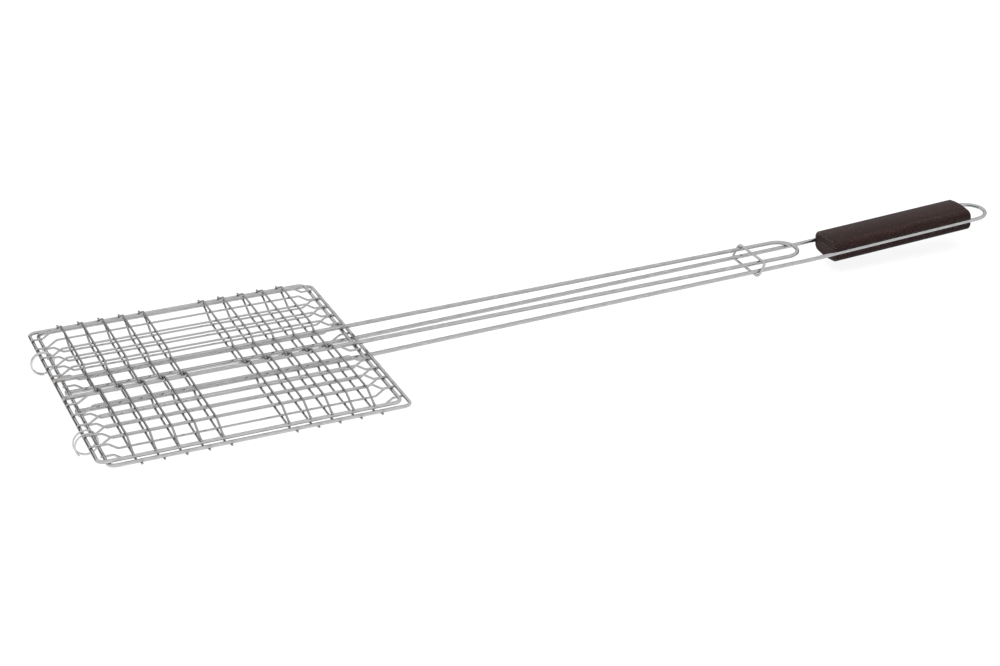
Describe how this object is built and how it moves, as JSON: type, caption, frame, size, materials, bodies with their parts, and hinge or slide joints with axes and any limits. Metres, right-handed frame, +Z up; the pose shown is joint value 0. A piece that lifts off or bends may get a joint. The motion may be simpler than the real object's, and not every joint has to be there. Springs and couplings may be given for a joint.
{
  "type": "gridiron",
  "caption": "Hinged wire gridiron: two square wire baskets that close on the food, long wire rods, a sliding lock ring, a dark wooden grip and a hanging loop.",
  "frame": {"origin": "middle of the bounding box in plan, at the height of its lowest point, the bottom of the hinge rings", "axes": "+X from the basket to the grip, +Y to the far side, +Z up out of the upper half when the grill is shut"},
  "size_m": [0.744, 0.2082, 0.0334],
  "materials": {
    "frame_wire": "bright plated, lightly worn",
    "rod_wire": "bright plated, lightly worn",
    "grid_wire": "bright plated, slightly dulled",
    "ring_wire": "bright plated",
    "lock_wire": "bright plated",
    "grip_wood": "dark stained, satin, worn edges"
  },
  "bodies": {
    "lower_half": {"lower_frame": "frame_wire", "lower_rod": "rod_wire", "lower_long_wire_1": "grid_wire", "lower_long_wire_2": "grid_wire", "lower_long_wire_3": "grid_wire", "lower_long_wire_4": "grid_wire", "lower_long_wire_5": "grid_wire", "lower_long_wire_6": "grid_wire", "lower_long_wire_7": "grid_wire", "lower_long_wire_8": "grid_wire", "lower_long_wire_9": "grid_wire", "lower_long_wire_10": "grid_wire", "lower_cross_wires_1": "grid_wire", "lower_cross_wires_2": "grid_wire", "lower_cross_wires_3": "grid_wire", "lower_cross_wires_4": "grid_wire", "lower_cross_wires_5": "grid_wire", "lower_cross_wires_6": "grid_wire", "lower_cross_wires_7": "grid_wire", "lower_cross_wires_8": "grid_wire", "lower_cross_wires_9": "grid_wire", "lower_cross_wires_10": "grid_wire", "grip": "grip_wood"},
    "upper_half": {"upper_frame": "frame_wire", "upper_rod": "rod_wire", "upper_long_wire_1": "grid_wire", "upper_long_wire_2": "grid_wire", "upper_long_wire_3": "grid_wire", "upper_long_wire_4": "grid_wire", "upper_long_wire_5": "grid_wire", "upper_long_wire_6": "grid_wire", "upper_long_wire_7": "grid_wire", "upper_long_wire_8": "grid_wire", "upper_long_wire_9": "grid_wire", "upper_long_wire_10": "grid_wire", "upper_cross_wires_1": "grid_wire", "upper_cross_wires_2": "grid_wire", "upper_cross_wires_3": "grid_wire", "upper_cross_wires_4": "grid_wire", "upper_cross_wires_5": "grid_wire", "upper_cross_wires_6": "grid_wire", "upper_cross_wires_7": "grid_wire", "upper_cross_wires_8": "grid_wire", "upper_cross_wires_9": "grid_wire", "upper_cross_wires_10": "grid_wire"},
    "far_hinge_ring": {"far_hinge_ring": "ring_wire"},
    "near_hinge_ring": {"near_hinge_ring": "ring_wire"},
    "lock_ring": {"lock_ring": "lock_wire"}
  },
  "joints": [
    {"name": "lid_hinge", "type": "hinge", "parent": "lower_half", "child": "upper_half", "pos_m": [-0.36453, 0, 0.01449], "axis": [0, -1, 0], "range_deg": [0, 180]},
    {"name": "lock_ring_slide", "type": "slide", "parent": "lower_half", "child": "lock_ring", "axis": [0.9998, 0, 0.0223], "range_m": [0, 0.05]},
    {"name": "far_hinge_ring_swing", "type": "hinge", "parent": "lower_half", "child": "far_hinge_ring", "pos_m": [-0.36453, 0.0642, 0.01449], "axis": [0, -1, 0], "range_deg": [0, 90]},
    {"name": "near_hinge_ring_swing", "type": "hinge", "parent": "lower_half", "child": "near_hinge_ring", "pos_m": [-0.36453, -0.061, 0.01449], "axis": [0, -1, 0], "range_deg": [0, 90]}
  ],
  "couplings": [
    {"joint": "lock_ring_slide", "follows": "lid_hinge", "m_per_rad": 0.0159}
  ]
}
